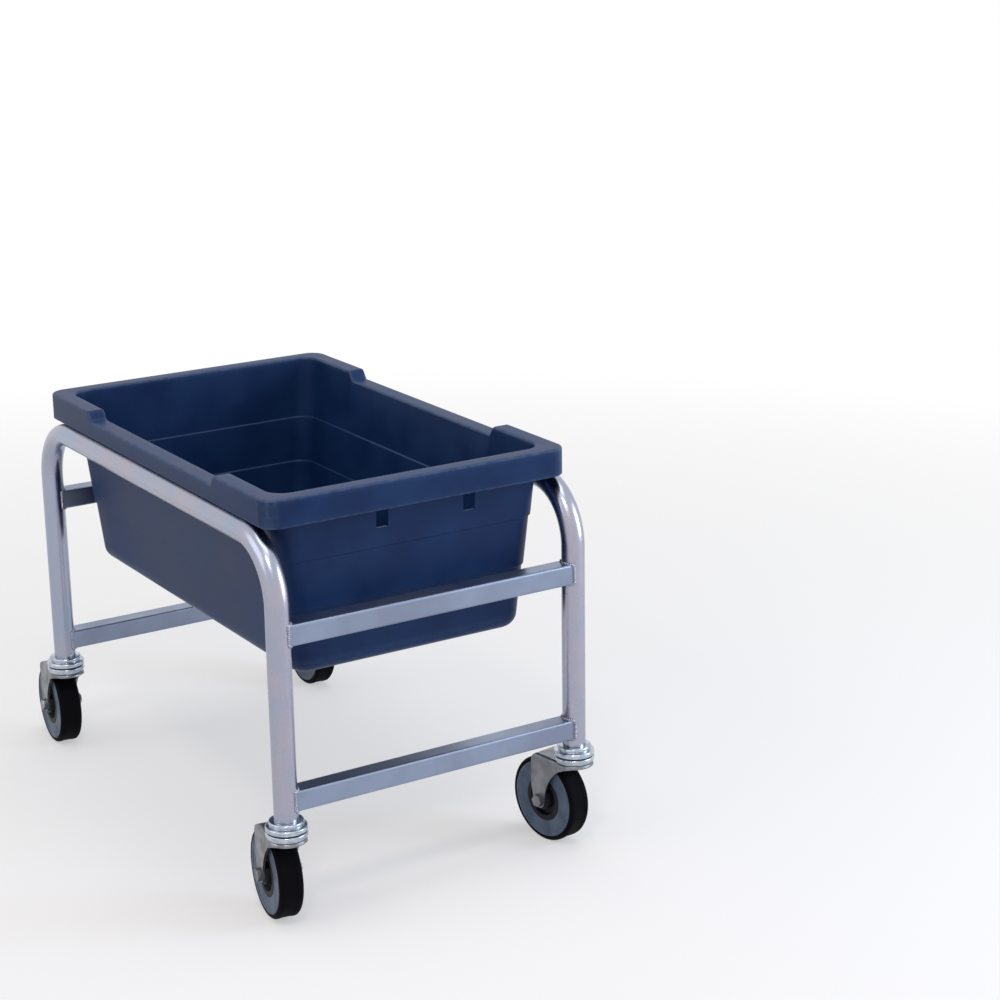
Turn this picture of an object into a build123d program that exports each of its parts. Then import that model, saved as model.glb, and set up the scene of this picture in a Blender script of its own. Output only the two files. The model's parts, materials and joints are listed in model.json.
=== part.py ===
from build123d import *
from math import cos, radians, sin
import os

# Meat lug cart: a moulded tote hung by its rim on a welded aluminium frame with four swivel castors.
# Millimetres. +X runs along the rails to the front end, +Y to the left side, +Z up from the floor.

# Moulded lug
lug_length = 638.0
lug_width = 406.0
lug_height = 228.0
lug_wall = 3.2
lug_bottom_length = 570.0
lug_bottom_width = 312.0
lug_corner = 26.0
lug_bottom_fillet = 16.0
rim_flange_width = 20.0
rim_height = 34.0
rim_corner = 22.0
rim_edge_bevel = 2.0
rim_rib_thickness = 2.5
rim_rib_pitch = 66.0
wall_step = 1.5
wall_step_depths = [86.0, 148.0]
stack_recess_length = 352.0
stack_recess_depth = 12.0
stack_recess_ramp = 8.0
hand_grip_width = 130.0
end_slot_width = 16.0
end_slot_height = 22.0
end_slot_spacing = 118.0
end_slot_offset = 16.0
end_slot_below_rim = 6.0

# Welded tube frame
leg_beyond_lug = 11.0
rail_inside_rim = 3.0
tube_diameter = 28.6
tube_wall = 1.7
bend_radius = 72.0
rail_above_leg_end = 326.0
bar_size = 25.4
bar_wall = 1.7
lower_bar_above_leg_end = 21.0
upper_bar_above_leg_end = 222.0

# Swivel castors
wheel_diameter = 110.0
tread_width = 30.0
tyre_thickness = 6.0
tread_shoulder = 3.0
core_recess_diameter = 46.0
core_web_width = 14.0
hub_diameter = 26.0
hub_length = 35.0
castor_trail = 43.0
castor_height = 138.5
head_diameter = 50.0
head_flange_diameter = 42.0
head_flange_height = 5.0
upper_race_height = 7.0
ball_gap = 1.6
ball_track_diameter = 36.0
ball_diameter = 5.0
ball_seat_depth = 1.7
lower_race_height = 7.4
fork_sheet = 3.0
fork_front_radius = 24.0
fork_front_skirt = 5.0
fork_throat_reach = 16.0
fork_rear_reach = 57.0
fork_shoulder_radius = 12.0
fork_rear_edge = 43.0
fork_boss_radius = 10.0
stem_diameter = 12.7
stem_length = 36.0
kingpin_diameter = 9.5
kingpin_head_diameter = 18.0
kingpin_head_height = 4.0
socket_flange_height = 2.5
socket_length = 40.0
axle_diameter = 9.5
axle_hex_across_flats = 14.3
axle_head_height = 5.0
axle_nut_height = 8.0
axle_end_length = 1.5
sleeve_wall = 2.2

# Clearances
seat_gap = 0.3
running_gap = 0.08
swivel_gap = 0.2
socket_gap = 0.05
hub_side_gap = 0.5

# Direction from each leg to its trailing wheel at rest, in degrees from +X
castor_headings = {
    "front_right": 172.0,
    "front_left": 189.0,
    "rear_right": 175.0,
    "rear_left": 178.0,
}

# Levels and reaches that follow from the sizes above
tube_radius = tube_diameter / 2
tube_bore = tube_diameter - 2 * tube_wall
wheel_radius = wheel_diameter / 2
leg_end = castor_height + socket_flange_height
rail_level = leg_end + rail_above_leg_end
rim_bottom = rail_level + tube_radius + seat_gap
rim_top = rim_bottom + rim_height
lug_bottom = rim_top - lug_height
lug_top_length = lug_length - 2 * rim_flange_width
lug_top_width = lug_width - 2 * rim_flange_width
leg_spacing_length = lug_length + 2 * leg_beyond_lug
leg_spacing_width = lug_width - 2 * rail_inside_rim
step_heights = sorted(lug_height - depth for depth in wall_step_depths)

rear_reach = castor_trail + wheel_radius
front_reach = head_diameter / 2
frame_middle = (rear_reach - front_reach) / 2

flange_low = castor_height - head_flange_height
upper_race_low = flange_low - upper_race_height
lower_race_top = upper_race_low - ball_gap
crown_top = lower_race_top - lower_race_height
crown_low = crown_top - fork_sheet
fork_gap = hub_length + 2 * hub_side_gap
fork_width = fork_gap + 2 * fork_sheet
core_radius = wheel_radius - tyre_thickness
sleeve_bore = axle_diameter + 2 * running_gap
sleeve_diameter = sleeve_bore + 2 * sleeve_wall

corners = {
    "front_right": (frame_middle + leg_spacing_length / 2, -leg_spacing_width / 2),
    "front_left": (frame_middle + leg_spacing_length / 2, leg_spacing_width / 2),
    "rear_right": (frame_middle - leg_spacing_length / 2, -leg_spacing_width / 2),
    "rear_left": (frame_middle - leg_spacing_length / 2, leg_spacing_width / 2),
}
leg_places = list(corners.values())

os.makedirs("parts", exist_ok=True)


def write_part(part, label):
    """Label a finished piece and write it to its own file."""
    part.label = label
    export_step(part, f"parts/{label}.step")


# Side frames: one tube bent to an inverted U makes two legs and the rail between them
def make_side_frame(side_y):
    """Bend one side's tube: a leg, a quarter bend and half the rail, mirrored to the other end."""
    leg_x = frame_middle + leg_spacing_length / 2
    bend_x = leg_x - bend_radius
    bend_level = rail_level - bend_radius
    with BuildPart() as side_frame:
        with BuildSketch(Plane((leg_x, side_y, leg_end))):
            Circle(tube_radius)
            Circle(tube_bore / 2, mode=Mode.SUBTRACT)
        extrude(amount=bend_level - leg_end)
        with BuildSketch(Plane((leg_x, side_y, bend_level))):
            Circle(tube_radius)
            Circle(tube_bore / 2, mode=Mode.SUBTRACT)
        revolve(axis=Axis((bend_x, side_y, bend_level), (0, -1, 0)), revolution_arc=90)
        with BuildSketch(Plane((bend_x, side_y, rail_level), x_dir=(0, 1, 0), z_dir=(-1, 0, 0))):
            Circle(tube_radius)
            Circle(tube_bore / 2, mode=Mode.SUBTRACT)
        extrude(amount=bend_x - frame_middle)
        mirror(about=Plane.YZ.offset(frame_middle))
    return side_frame.part


write_part(make_side_frame(-leg_spacing_width / 2), "right_side_frame")
write_part(make_side_frame(leg_spacing_width / 2), "left_side_frame")


# Crossbars: square tubes coped to the round legs
def make_crossbar(leg_x, bar_level):
    """Cut one square tube to fit between the two legs of an end."""
    with BuildPart() as crossbar:
        with BuildSketch(Plane.XZ):
            with Locations((leg_x, bar_level)):
                Rectangle(bar_size, bar_size)
                Rectangle(bar_size - 2 * bar_wall, bar_size - 2 * bar_wall, mode=Mode.SUBTRACT)
        extrude(amount=leg_spacing_width / 2, both=True)
        with BuildSketch(Plane.XY.offset(bar_level - bar_size)):
            with Locations((leg_x, leg_spacing_width / 2), (leg_x, -leg_spacing_width / 2)):
                Circle(tube_radius)
        extrude(amount=2 * bar_size, mode=Mode.SUBTRACT)
    return crossbar.part


for end, end_sign in {"front": 1, "rear": -1}.items():
    end_x = frame_middle + end_sign * leg_spacing_length / 2
    write_part(make_crossbar(end_x, leg_end + lower_bar_above_leg_end), f"{end}_lower_crossbar")
    write_part(make_crossbar(end_x, leg_end + upper_bar_above_leg_end), f"{end}_upper_crossbar")


# Moulded lug: drafted walls with two outward steps, under a hollow rim cut down for cross stacking
def wall_profile(bottom_size, top_size, floor, inset):
    """Outline of the lug across one direction: draft in straight stages, a ledge between stages."""
    bounds = [floor, *[height + floor for height in step_heights], lug_height]
    draft = (top_size - bottom_size) / 2 - wall_step * len(step_heights)
    half = []
    for stage, ends in enumerate(zip(bounds, bounds[1:])):
        for height in ends:
            half.append((bottom_size / 2 + draft * height / lug_height + wall_step * stage - inset, height))
    return half + [(-across, height) for across, height in reversed(half)]


def make_stepped_taper(floor, inset):
    """Cross the long and the short outline, then round the corners and the bottom edge."""
    middle = (frame_middle, 0, lug_bottom)
    with BuildPart() as taper:
        with BuildSketch(Plane(middle, x_dir=(1, 0, 0), z_dir=(0, -1, 0))):
            with BuildLine():
                Polyline(*wall_profile(lug_bottom_length, lug_top_length, floor, inset), close=True)
            make_face()
        extrude(amount=lug_width, both=True)
        with BuildSketch(Plane(middle, x_dir=(0, 1, 0), z_dir=(1, 0, 0))):
            with BuildLine():
                Polyline(*wall_profile(lug_bottom_width, lug_top_width, floor, inset), close=True)
            make_face()
        extrude(amount=lug_length, both=True, mode=Mode.INTERSECT)
        fillet([edge for edge in taper.edges() if edge.bounding_box().size.Z > 1], lug_corner - inset)
        fillet(taper.edges().group_by(Axis.Z)[0], lug_bottom_fillet - inset)
    return taper.part


lug_outside = make_stepped_taper(0, 0)
lug_inside = make_stepped_taper(lug_wall, lug_wall)
rim_plane = Plane((frame_middle, 0, rim_bottom))
rim_side_plane = Plane((frame_middle, 0, rim_top), x_dir=(1, 0, 0), z_dir=(0, -1, 0))
rib_count = int((lug_length / 2 - rim_corner) / rim_rib_pitch)
rib_places = [
    (step * rim_rib_pitch, side * (lug_width - rim_flange_width) / 2)
    for step in range(-rib_count, rib_count + 1)
    for side in (-1, 1)
]
grip_rib_places = [
    (end * (lug_length - rim_flange_width) / 2, side * hand_grip_width / 2)
    for end in (-1, 1)
    for side in (-1, 1)
]

# Hollow between the wall and the skirt, with its ribs left standing
with BuildPart() as rim_channel:
    with BuildSketch(rim_plane):
        RectangleRounded(lug_length - 2 * lug_wall, lug_width - 2 * lug_wall, rim_corner - lug_wall)
    extrude(amount=rim_height - lug_wall)
    with BuildSketch(rim_side_plane):
        with BuildLine():
            low_half = stack_recess_length / 2 + lug_wall
            Polyline(
                (-low_half - stack_recess_ramp, 0),
                (-low_half - stack_recess_ramp, -lug_wall),
                (-low_half, -lug_wall - stack_recess_depth),
                (low_half, -lug_wall - stack_recess_depth),
                (low_half + stack_recess_ramp, -lug_wall),
                (low_half + stack_recess_ramp, 0),
                close=True,
            )
        make_face()
    extrude(amount=lug_width, both=True, mode=Mode.SUBTRACT)
    with BuildSketch(rim_plane):
        with Locations(*rib_places):
            Rectangle(rim_rib_thickness, 2 * rim_flange_width)
        with Locations(*grip_rib_places):
            Rectangle(2 * rim_flange_width, rim_rib_thickness)
    extrude(amount=rim_height, mode=Mode.SUBTRACT)
    add(lug_outside, mode=Mode.SUBTRACT)

with BuildPart() as lug_tub:
    with BuildSketch(rim_plane):
        RectangleRounded(lug_length, lug_width, rim_corner)
    extrude(amount=rim_height)
    chamfer(lug_tub.edges().group_by(Axis.Z)[-1], rim_edge_bevel)
    add(lug_outside)
    add(rim_channel.part, mode=Mode.SUBTRACT)
    add(lug_inside, mode=Mode.SUBTRACT)
    # Stacking recess across the middle of the long sides
    with BuildSketch(rim_side_plane):
        with BuildLine():
            recess_half = stack_recess_length / 2
            Polyline(
                (-recess_half - stack_recess_ramp, stack_recess_depth),
                (-recess_half - stack_recess_ramp, 0),
                (-recess_half, -stack_recess_depth),
                (recess_half, -stack_recess_depth),
                (recess_half + stack_recess_ramp, 0),
                (recess_half + stack_recess_ramp, stack_recess_depth),
                close=True,
            )
        make_face()
    extrude(amount=lug_width, both=True, mode=Mode.SUBTRACT)
    # Slots for a tag or a lid clip, just under the rim at the front end
    slot_level = rim_bottom - end_slot_below_rim - end_slot_height / 2
    slot_places = [(end_slot_offset + side * end_slot_spacing / 2, slot_level) for side in (-1, 1)]
    with BuildSketch(Plane.YZ.offset(frame_middle)):
        with Locations(*slot_places):
            Rectangle(end_slot_width, end_slot_height)
    extrude(amount=lug_length, mode=Mode.SUBTRACT)

write_part(lug_tub.part, "lug_tub")


# Pieces fixed in the four legs
with BuildPart() as stem_sockets:
    with BuildSketch(Plane.XY.offset(castor_height)):
        with Locations(*leg_places):
            Circle(tube_radius)
            Circle(stem_diameter / 2 + socket_gap, mode=Mode.SUBTRACT)
    extrude(amount=socket_flange_height)
    with BuildSketch(Plane.XY.offset(leg_end)):
        with Locations(*leg_places):
            Circle(tube_bore / 2 - socket_gap)
            Circle(stem_diameter / 2 + socket_gap, mode=Mode.SUBTRACT)
    extrude(amount=socket_length)

write_part(stem_sockets.part, "stem_sockets")

with BuildPart() as kingpins:
    with BuildSketch(Plane.XY.offset(castor_height)):
        with Locations(*leg_places):
            Circle(stem_diameter / 2)
    extrude(amount=stem_length)
    with BuildSketch(Plane.XY.offset(crown_low - swivel_gap)):
        with Locations(*leg_places):
            Circle(kingpin_diameter / 2)
    extrude(amount=castor_height - crown_low + swivel_gap)
    with BuildSketch(Plane.XY.offset(crown_low - swivel_gap - kingpin_head_height)):
        with Locations(*leg_places):
            Circle(kingpin_head_diameter / 2)
    extrude(amount=kingpin_head_height)

write_part(kingpins.part, "kingpins")

with BuildPart() as upper_races:
    with BuildSketch(Plane.XY.offset(flange_low)):
        with Locations(*leg_places):
            Circle(head_flange_diameter / 2)
            Circle(kingpin_diameter / 2, mode=Mode.SUBTRACT)
    extrude(amount=head_flange_height)
    with BuildSketch(Plane.XY.offset(upper_race_low)):
        with Locations(*leg_places):
            Circle(head_diameter / 2)
            Circle(kingpin_diameter / 2, mode=Mode.SUBTRACT)
    extrude(amount=upper_race_height)
    with BuildSketch(Plane.XY.offset(upper_race_low)):
        with Locations(*leg_places):
            Circle((ball_track_diameter + ball_diameter) / 2)
            Circle((ball_track_diameter - ball_diameter) / 2, mode=Mode.SUBTRACT)
    extrude(amount=ball_seat_depth, mode=Mode.SUBTRACT)

write_part(upper_races.part, "upper_races")

# Each ring of balls is one closed ring, seated in the upper race
with BuildPart() as ball_rings:
    with BuildSketch(Plane.XY.offset(lower_race_top + swivel_gap)):
        with Locations(*leg_places):
            Circle((ball_track_diameter + ball_diameter) / 2)
            Circle((ball_track_diameter - ball_diameter) / 2, mode=Mode.SUBTRACT)
    extrude(amount=ball_gap - swivel_gap + ball_seat_depth)

write_part(ball_rings.part, "ball_rings")


# Pieces that swivel, and the wheels, in each castor's own plane: x to the wheel, z up from the floor
def make_castor(corner):
    """Make and write the pieces of one castor that swivel or roll."""
    leg_x, leg_y = corners[corner]
    heading = radians(castor_headings[corner])
    base = Plane((leg_x, leg_y, 0), x_dir=(cos(heading), sin(heading), 0), z_dir=(0, 0, 1))
    side = Plane(base.origin, x_dir=base.x_dir, z_dir=-base.y_dir)
    wheel_side = Plane(base.from_local_coords((castor_trail, 0, wheel_radius)), base.x_dir, -base.y_dir)
    axle_spot = (castor_trail, wheel_radius)

    with BuildPart() as lower_race:
        with BuildSketch(base.offset(crown_top)):
            Circle(head_diameter / 2)
            Circle(kingpin_diameter / 2 + swivel_gap, mode=Mode.SUBTRACT)
        extrude(amount=lower_race_height)
    write_part(lower_race.part, f"lower_race_{corner}")

    with BuildPart() as fork:
        with BuildSketch(base.offset(wheel_radius - fork_boss_radius)):
            Circle(fork_front_radius)
            with Locations((fork_rear_reach / 2, 0)):
                Rectangle(fork_rear_reach, fork_width)
        extrude(amount=crown_top - wheel_radius + fork_boss_radius)
        with BuildSketch(base.offset(wheel_radius - fork_boss_radius)):
            Circle(fork_front_radius - fork_sheet)
            with Locations((fork_rear_reach, 0)):
                Rectangle(2 * fork_rear_reach, fork_gap)
        extrude(amount=crown_low - wheel_radius + fork_boss_radius, mode=Mode.SUBTRACT)
        # Cheek outline seen from the side: shoulder, rear edge, axle boss and the curve over the wheel
        with BuildSketch(side):
            with BuildLine():
                boss_front = (castor_trail - fork_boss_radius, wheel_radius)
                boss_rear = (castor_trail + fork_boss_radius, wheel_radius)
                throat = (-fork_throat_reach, crown_top - fork_front_skirt)
                shoulder = (fork_rear_reach - fork_shoulder_radius, crown_top)
                rear_low = (fork_rear_reach, crown_top - fork_rear_edge)
                Polyline(
                    throat,
                    (-fork_front_radius, crown_top - fork_front_skirt),
                    (-fork_front_radius, crown_top),
                    shoulder,
                )
                RadiusArc(shoulder, (fork_rear_reach, crown_top - fork_shoulder_radius), fork_shoulder_radius)
                Polyline((fork_rear_reach, crown_top - fork_shoulder_radius), rear_low, boss_rear)
                ThreePointArc(boss_rear, (castor_trail, wheel_radius - fork_boss_radius), boss_front)
                TangentArc(boss_front, throat, tangent=(0, 1))
            make_face()
        extrude(amount=head_diameter, both=True, mode=Mode.INTERSECT)
        with BuildSketch(side):
            with Locations(axle_spot):
                Circle(axle_diameter / 2 + running_gap)
        extrude(amount=head_diameter, both=True, mode=Mode.SUBTRACT)
        with BuildSketch(base.offset(crown_low)):
            Circle(kingpin_diameter / 2 + swivel_gap)
        extrude(amount=2 * fork_sheet, mode=Mode.SUBTRACT)
    write_part(fork.part, f"fork_{corner}")

    half_fork = fork_width / 2
    with BuildPart() as axle_bolt:
        with BuildSketch(wheel_side.offset(-half_fork)):
            Circle(axle_diameter / 2)
        extrude(amount=fork_width + axle_nut_height + axle_end_length)
        with BuildSketch(wheel_side.offset(-half_fork - axle_head_height)):
            RegularPolygon(axle_hex_across_flats / 2, 6, major_radius=False)
        extrude(amount=axle_head_height)
    write_part(axle_bolt.part, f"axle_bolt_{corner}")

    with BuildPart() as axle_nut:
        with BuildSketch(wheel_side.offset(half_fork)):
            RegularPolygon(axle_hex_across_flats / 2, 6, major_radius=False)
            Circle(axle_diameter / 2 + running_gap, mode=Mode.SUBTRACT)
        extrude(amount=axle_nut_height)
    write_part(axle_nut.part, f"axle_nut_{corner}")

    with BuildPart() as axle_sleeve:
        with BuildSketch(wheel_side):
            Circle(sleeve_diameter / 2)
            Circle(sleeve_bore / 2, mode=Mode.SUBTRACT)
        extrude(amount=fork_gap / 2, both=True)
    write_part(axle_sleeve.part, f"axle_sleeve_{corner}")

    with BuildPart() as wheel_core:
        with BuildSketch(wheel_side):
            Circle(core_radius)
            Circle(core_recess_diameter / 2, mode=Mode.SUBTRACT)
        extrude(amount=tread_width / 2, both=True)
        with BuildSketch(wheel_side):
            Circle(core_recess_diameter / 2)
        extrude(amount=core_web_width / 2, both=True)
        with BuildSketch(wheel_side):
            Circle(hub_diameter / 2)
        extrude(amount=hub_length / 2, both=True)
        with BuildSketch(wheel_side):
            Circle(sleeve_diameter / 2 + running_gap)
        extrude(amount=hub_length, both=True, mode=Mode.SUBTRACT)
    write_part(wheel_core.part, f"wheel_core_{corner}")

    with BuildPart() as tyre:
        with BuildSketch(wheel_side):
            Circle(wheel_radius)
        extrude(amount=tread_width / 2, both=True)
        chamfer(tyre.edges(), tread_shoulder)
        with BuildSketch(wheel_side):
            Circle(core_radius)
        extrude(amount=tread_width, both=True, mode=Mode.SUBTRACT)
    write_part(tyre.part, f"tyre_{corner}")


for corner_name in corners:
    make_castor(corner_name)
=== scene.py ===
"""Looks of the meat lug cart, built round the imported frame.

A navy moulded lug hangs by its rim between the rails of an aluminium tube frame on four swivel castors.
Pieces are modelled in millimetres and turned into metres where their mesh is made. Outlines of turned
pieces list radius, height and corner radius, in that order.
"""

from __future__ import annotations

import json
import logging
import math
from dataclasses import dataclass, field
from enum import Enum
from typing import Any, Iterator, Sequence

import bpy
from mathutils import Matrix, Vector

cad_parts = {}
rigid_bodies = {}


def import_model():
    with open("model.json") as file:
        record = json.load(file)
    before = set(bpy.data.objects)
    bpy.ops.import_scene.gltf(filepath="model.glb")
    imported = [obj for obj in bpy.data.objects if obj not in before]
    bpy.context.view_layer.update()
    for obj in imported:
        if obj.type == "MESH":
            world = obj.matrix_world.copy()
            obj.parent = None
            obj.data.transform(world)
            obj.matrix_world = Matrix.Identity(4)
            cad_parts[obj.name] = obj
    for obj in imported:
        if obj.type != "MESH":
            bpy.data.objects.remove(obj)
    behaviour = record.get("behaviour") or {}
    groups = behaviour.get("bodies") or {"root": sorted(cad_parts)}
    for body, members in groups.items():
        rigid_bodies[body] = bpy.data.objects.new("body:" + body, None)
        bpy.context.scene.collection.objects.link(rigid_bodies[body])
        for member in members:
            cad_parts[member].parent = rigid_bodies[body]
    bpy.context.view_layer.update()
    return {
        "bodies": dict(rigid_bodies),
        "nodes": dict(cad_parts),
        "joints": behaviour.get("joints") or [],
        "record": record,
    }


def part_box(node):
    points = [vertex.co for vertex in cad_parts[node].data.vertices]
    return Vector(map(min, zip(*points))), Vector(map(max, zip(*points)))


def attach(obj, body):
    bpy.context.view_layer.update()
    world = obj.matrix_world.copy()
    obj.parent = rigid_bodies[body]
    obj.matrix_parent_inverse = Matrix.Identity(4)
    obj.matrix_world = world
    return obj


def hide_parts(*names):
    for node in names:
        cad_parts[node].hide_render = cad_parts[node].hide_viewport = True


LOG = logging.getLogger("meat_lug_cart")
MM = 0.001
CORNERS = ("front_right", "front_left", "rear_right", "rear_left")
WHITE = "#FFFFFF"
# Noise seldom leaves this part of its range, so this part is stretched to the whole
NOISE_LOW, NOISE_HIGH = 0.35, 0.65
# Below these a frame node's points are one point, and its triangles one flat face
JOINED_MM = 0.01
FLAT_DEGREES = 1.0
# Edges that turn further than this are rounded off
EDGE_DEGREES = 40.0

Tree = bpy.types.NodeTree
Socket = bpy.types.NodeSocket
Point = tuple[float, float]
Corner = tuple[float, float, float]


class Sharpness(Enum):
    """How far a surface may turn, in degrees, and still be shaded as one smooth skin."""

    SOFT = 60.0
    MACHINED = 32.0


class Cut(Enum):
    """What a cutting tool leaves of a piece."""

    OUTSIDE = "DIFFERENCE"
    INSIDE = "INTERSECT"


def linear(hex_colour: str) -> tuple[float, float, float, float]:
    """Turn an sRGB hex colour into the linear colour that shaders use.

    Args:
        hex_colour: Six hex digits after a hash sign.

    Returns:
        Linear red, green, blue and an alpha of one.
    """
    channels = [int(hex_colour[place : place + 2], 16) / 255 for place in (1, 3, 5)]
    red, green, blue = [c / 12.92 if c <= 0.04045 else ((c + 0.055) / 1.055) ** 2.4 for c in channels]
    return red, green, blue, 1.0


def add_node(tree: Tree, kind: str, inputs: dict[Any, Any] | None = None, **settings: Any) -> bpy.types.Node:
    """Add one shader node with its settings, input values and links.

    Args:
        tree: Node tree that gets the node.
        kind: Blender's name for the type of node.
        inputs: Input socket name or number, mapped to a value or to the output socket that feeds it.
        **settings: Properties of the node itself.

    Returns:
        The new node.
    """
    node = tree.nodes.new(kind)
    for key, value in settings.items():
        setattr(node, key, value)
    for key, value in (inputs or {}).items():
        if isinstance(value, bpy.types.NodeSocket):
            tree.links.new(value, node.inputs[key])
        else:
            node.inputs[key].default_value = value
    return node


def per_mm(size_mm: float) -> float:
    """Texture scale at which one feature measures the given millimetres."""
    return 1.0 / (size_mm * MM)


@dataclass(frozen=True)
class Finish:
    """A surface finish: what the material is and how its surface was made.

    Every finish varies between two colours in blotches, and its shine varies with them. A fine grain
    raises its surface.
    """

    name: str
    colour: str
    second: str
    roughness: float
    spread: float = 0.1
    metallic: float = 0.0
    specular: float = 0.5
    blotch_mm: float = 30.0
    grain_mm: float = 1.5
    grain_depth_mm: float = 0.03

    def material(self) -> bpy.types.Material:
        """Make the material once, and hand out the same one after that.

        Returns:
            The finish's material.
        """
        made = bpy.data.materials.get(self.name)
        if made:
            return made
        made = bpy.data.materials.new(self.name)
        made.use_nodes = True
        tree = made.node_tree
        tree.nodes.clear()
        constants = {"Metallic": self.metallic, "Specular IOR Level": self.specular}
        shader = add_node(tree, "ShaderNodeBsdfPrincipled", constants)
        add_node(tree, "ShaderNodeOutputMaterial", {"Surface": shader.outputs[0]})
        self.dress(tree, shader, add_node(tree, "ShaderNodeTexCoord").outputs["Object"])
        return made

    def dress(self, tree: Tree, shader: bpy.types.Node, place: Socket) -> None:
        """Link colour, shine and grain to the shader.

        Args:
            tree: The material's node tree.
            shader: The shader that takes them.
            place: Coordinates of the piece, in metres.
        """
        blotches = add_node(
            tree, "ShaderNodeTexNoise", {"Vector": place, "Scale": per_mm(self.blotch_mm), "Detail": 5.0}
        )
        share = add_node(tree, "ShaderNodeMapRange", {0: blotches.outputs[0], 1: NOISE_LOW, 2: NOISE_HIGH})
        tints = {0: share.outputs[0], 6: linear(self.colour), 7: linear(self.second)}
        tint = add_node(tree, "ShaderNodeMix", tints, data_type="RGBA")
        tree.links.new(self.wear(tree, place, tint.outputs[2]), shader.inputs["Base Color"])
        shiniest, dullest = self.roughness - self.spread / 2, self.roughness + self.spread / 2
        shine = add_node(tree, "ShaderNodeMapRange", {0: share.outputs[0], 3: shiniest, 4: dullest})
        tree.links.new(shine.outputs[0], shader.inputs["Roughness"])
        grain = add_node(
            tree, "ShaderNodeTexNoise", {"Vector": self.grain_place(tree, place), "Scale": 1.0, "Detail": 2.0}
        )
        bump = add_node(
            tree, "ShaderNodeBump", {"Height": grain.outputs[0], "Strength": 1.0, "Distance": self.grain_depth_mm * MM}
        )
        tree.links.new(bump.outputs[0], shader.inputs["Normal"])

    def wear(self, tree: Tree, place: Socket, tint: Socket) -> Socket:
        """Change the colour where use has worn it; most finishes keep theirs."""
        return tint

    def grain_place(self, tree: Tree, place: Socket) -> Socket:
        """Coordinates in which one grain has a size of one."""
        scale = per_mm(self.grain_mm)
        return add_node(tree, "ShaderNodeMapping", {"Vector": place, "Scale": (scale, scale, scale)}).outputs[0]


@dataclass(frozen=True)
class DrawnAluminium(Finish):
    """Aluminium drawn or extruded through a die, whose lines run along the piece's length."""

    metallic: float = 1.0
    line_length_mm: float = 60.0

    def grain_place(self, tree: Tree, place: Socket) -> Socket:
        """Stretch the grain into lines along the piece, by the lengths kept in its map.

        Args:
            tree: The material's node tree.
            place: Coordinates of the piece, which the lengths take the place of.

        Returns:
            Coordinates in which one line has a length and a width of one.
        """
        along = add_node(tree, "ShaderNodeUVMap", uv_map="length")
        scale = (per_mm(self.line_length_mm), per_mm(self.grain_mm), 1.0)
        return add_node(tree, "ShaderNodeMapping", {"Vector": along.outputs[0], "Scale": scale}).outputs[0]


@dataclass(frozen=True)
class MouldedPolyethylene(Finish):
    """Moulded polyethylene, paled along its edges partly by scuffs and partly by painted sheen, with a painted
    highlight down the rim's upright corners.
    """

    # Pale colour, patch size and least strength of the scuffs and of the painted sheen and corner highlight
    scuff_and_sheen_colour: str = "#566A8A"
    scuff_and_sheen_patch_mm: float = 7.0
    least_scuff_and_sheen: float = 0.25

    def wear(self, tree: Tree, place: Socket, tint: Socket) -> Socket:
        """Pale the edges in patches where the mesh marks them, for scuffs and for painted sheen and highlight.

        Args:
            tree: The material's node tree.
            place: Coordinates of the piece, in metres.
            tint: The plastic's own colour.

        Returns:
            The colour with its scuffs and its painted sheen and highlight.
        """
        edge = add_node(tree, "ShaderNodeAttribute", attribute_name="scuff_and_sheen")
        patches = add_node(
            tree, "ShaderNodeTexNoise", {"Vector": place, "Scale": per_mm(self.scuff_and_sheen_patch_mm), "Detail": 6.0}
        )
        strength = add_node(
            tree, "ShaderNodeMapRange", {0: patches.outputs[0], 1: 0.3, 2: 0.7, 3: self.least_scuff_and_sheen, 4: 1.0}
        )
        scuff_and_sheen = add_node(tree, "ShaderNodeMath", {0: edge.outputs["Fac"], 1: strength.outputs[0]}, operation="MULTIPLY")
        colours = {0: scuff_and_sheen.outputs[0], 6: tint, 7: linear(self.scuff_and_sheen_colour)}
        return add_node(tree, "ShaderNodeMix", colours, data_type="RGBA").outputs[2]


# Drawn 6063 aluminium tube, satin from the die: soft highlights, faint lines along it, dull handled patches.
# The die lines are drawn 1.5 mm apart, coarser than real ones, so that they show.
TUBE = DrawnAluminium(
    "drawn_aluminium_tube", "#9CA7BB", "#ABA7B5", roughness=0.26, blotch_mm=55.0, grain_mm=1.5, grain_depth_mm=0.012
)
# Extruded square aluminium tube in mill finish: bluer, flatter and duller than the round tube.
# Its die lines are drawn 1.8 mm apart, coarser than real ones, so that they show.
BAR = DrawnAluminium(
    "extruded_aluminium_bar",
    "#8E9AB2",
    "#828BA0",
    roughness=0.36,
    blotch_mm=70.0,
    grain_mm=1.8,
    grain_depth_mm=0.012,
    line_length_mm=120.0,
)
# Bead of a TIG weld in aluminium: bright on the ripples, matt and grey in the heated edge.
WELD = Finish(
    "tig_weld_aluminium",
    "#A2A4B2",
    "#8A8C9A",
    roughness=0.36,
    spread=0.2,
    metallic=1.0,
    blotch_mm=4.0,
    grain_mm=1.2,
    grain_depth_mm=0.06,
)
# Turned steel with bright zinc plating: a cool hard shine that breaks up in small smears.
BRIGHT_ZINC = Finish(
    "bright_zinc_turned_steel",
    "#C2CBD6",
    "#A3ACB8",
    roughness=0.22,
    spread=0.14,
    metallic=1.0,
    blotch_mm=9.0,
    grain_mm=1.6,
    grain_depth_mm=0.012,
)
# Pressed steel sheet with zinc plating gone grey in use: satin, with dirt in soft blotches.
PRESSED_ZINC = Finish(
    "grey_zinc_pressed_steel",
    "#8C8E94",
    "#707379",
    roughness=0.36,
    spread=0.16,
    metallic=1.0,
    blotch_mm=16.0,
    grain_mm=1.4,
    grain_depth_mm=0.015,
)
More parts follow.
